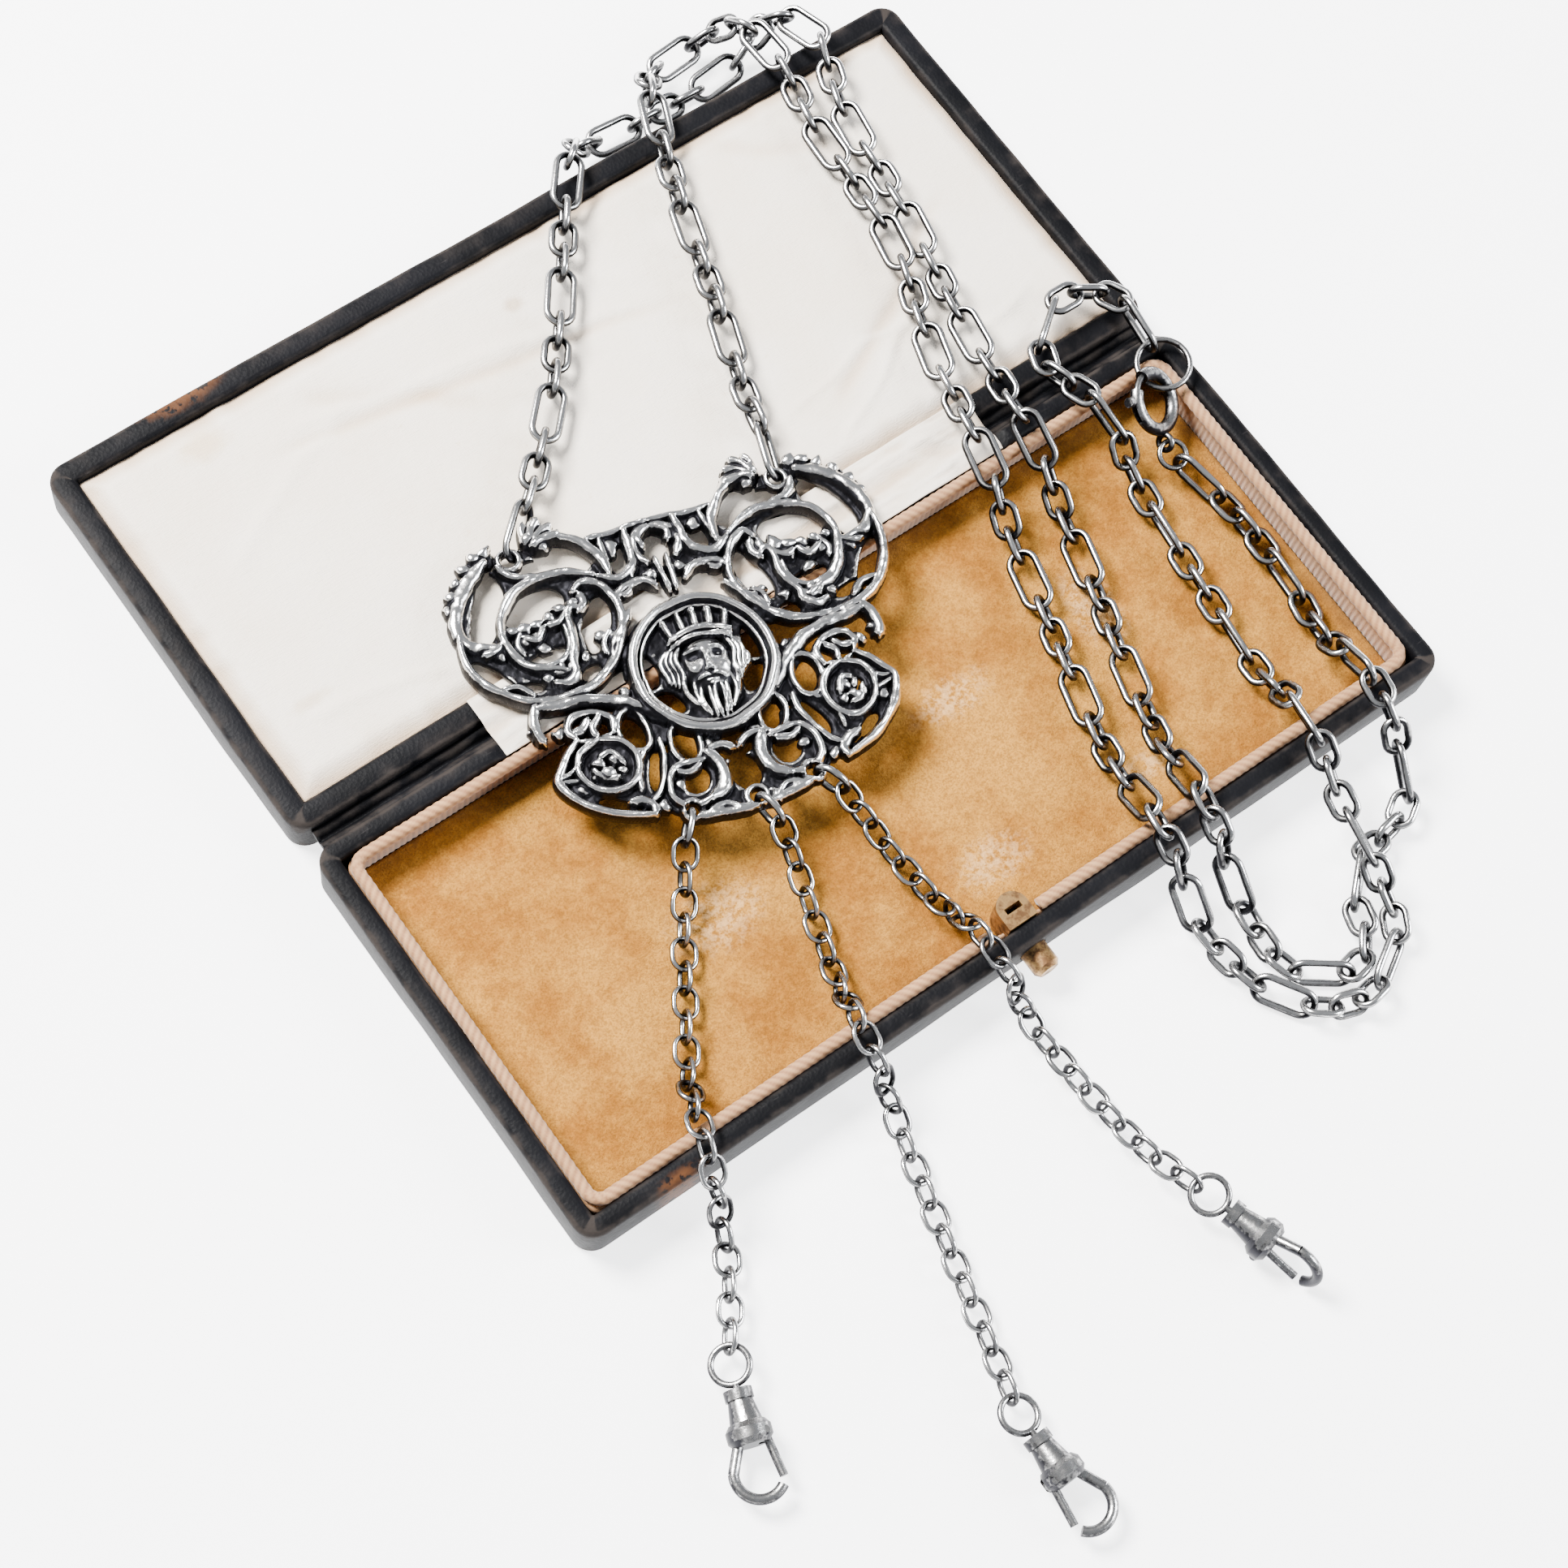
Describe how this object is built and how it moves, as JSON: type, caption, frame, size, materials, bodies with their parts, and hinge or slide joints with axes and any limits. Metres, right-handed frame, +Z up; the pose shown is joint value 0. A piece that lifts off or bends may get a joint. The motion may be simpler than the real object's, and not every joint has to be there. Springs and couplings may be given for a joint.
{
  "type": "chatelaine with jewel case",
  "caption": "Waist chatelaine: pierced plaque with a head medallion, long neck chain with bolt ring, and three drop chains with swivel clips, lying in an open flat jewel case.",
  "frame": {"origin": "centre of the underside of the case's base", "axes": "+X to the right along the case's width, +Y from the push button towards the opened lid, +Z up from the surface that the open case lies on"},
  "size_m": [0.1521, 0.2167, 0.0148],
  "materials": {
    "leather": "grained black leather cloth with worn edges",
    "velvet": "tan velvet",
    "ribbed_cloth": "cream ribbed cloth",
    "cord": "cream twisted cord",
    "silk": "pale cream silk over a padded lid",
    "old_brass": "darkened brass",
    "old_silver": "cast silver with dark recesses",
    "chain_silver": "worn polished silver wire",
    "clip_silver": "worn polished silver"
  },
  "bodies": {
    "case_and_chains": {"case_base": "leather", "velvet_pad": "velvet", "wall_cloth": "ribbed_cloth", "base_piping": "cord", "catch_plate": "old_brass", "hinge_strip": "leather", "lid_shell": "leather", "lid_lining": "silk", "silk_flap": "silk", "plaque": "old_silver", "neck_chain_left": "chain_silver", "neck_chain_right": "chain_silver", "drop_chain_left": "chain_silver", "drop_chain_middle": "chain_silver", "drop_chain_right": "chain_silver", "clip_ring_left": "clip_silver", "clip_ring_middle": "clip_silver", "clip_ring_right": "clip_silver", "bolt_ring": "clip_silver", "bolt_end_ring": "clip_silver", "closing_ring": "clip_silver"},
    "button": {"push_button": "old_brass"},
    "left_clip": {"clip_body_left": "clip_silver"},
    "middle_clip": {"clip_body_middle": "clip_silver"},
    "right_clip": {"clip_body_right": "clip_silver"},
    "left_gate": {"clip_gate_left": "clip_silver"},
    "middle_gate": {"clip_gate_middle": "clip_silver"},
    "right_gate": {"clip_gate_right": "clip_silver"},
    "bolt": {"ring_bolt": "clip_silver"}
  },
  "joints": [
    {"name": "button_press", "type": "slide", "parent": "case_and_chains", "child": "button", "axis": [0, 1, 0], "range_m": [0, 0.0012], "stiffness_N_per_m": 200},
    {"name": "left_clip_swivel", "type": "hinge", "parent": "case_and_chains", "child": "left_clip", "pos_m": [-0.0688, -0.058, 0.00325], "axis": [-0.342, -0.9397, 0], "continuous": true},
    {"name": "middle_clip_swivel", "type": "hinge", "parent": "case_and_chains", "child": "middle_clip", "pos_m": [-0.0406, -0.0852, 0.00325], "axis": [0, -1, 0], "continuous": true},
    {"name": "right_clip_swivel", "type": "hinge", "parent": "case_and_chains", "child": "right_clip", "pos_m": [-0.0007, -0.0767, 0.004], "axis": [0.2521, -0.9677, 0], "continuous": true},
    {"name": "left_gate_swing", "type": "hinge", "parent": "left_clip", "child": "left_gate", "pos_m": [-0.06932, -0.06526, 0.00325], "axis": [0, 0, -1], "range_deg": [0, 25], "stiffness_Nm_per_rad": 0.002},
    {"name": "middle_gate_swing", "type": "hinge", "parent": "middle_clip", "child": "middle_gate", "pos_m": [-0.0426, -0.0922, 0.00325], "axis": [0, 0, 1], "range_deg": [0, 25], "stiffness_Nm_per_rad": 0.002},
    {"name": "right_gate_swing", "type": "hinge", "parent": "right_clip", "child": "right_gate", "pos_m": [0.00073, -0.08356, 0.00203], "axis": [-0.953, -0.2482, 0.1737], "range_deg": [0, 25], "stiffness_Nm_per_rad": 0.002},
    {"name": "bolt_draw", "type": "hinge", "parent": "case_and_chains", "child": "bolt", "pos_m": [0.0651, 0.0231, 0.0102], "axis": [0.433, -0.5, 0.75], "range_deg": [0, 30], "stiffness_Nm_per_rad": 0.002}
  ]
}
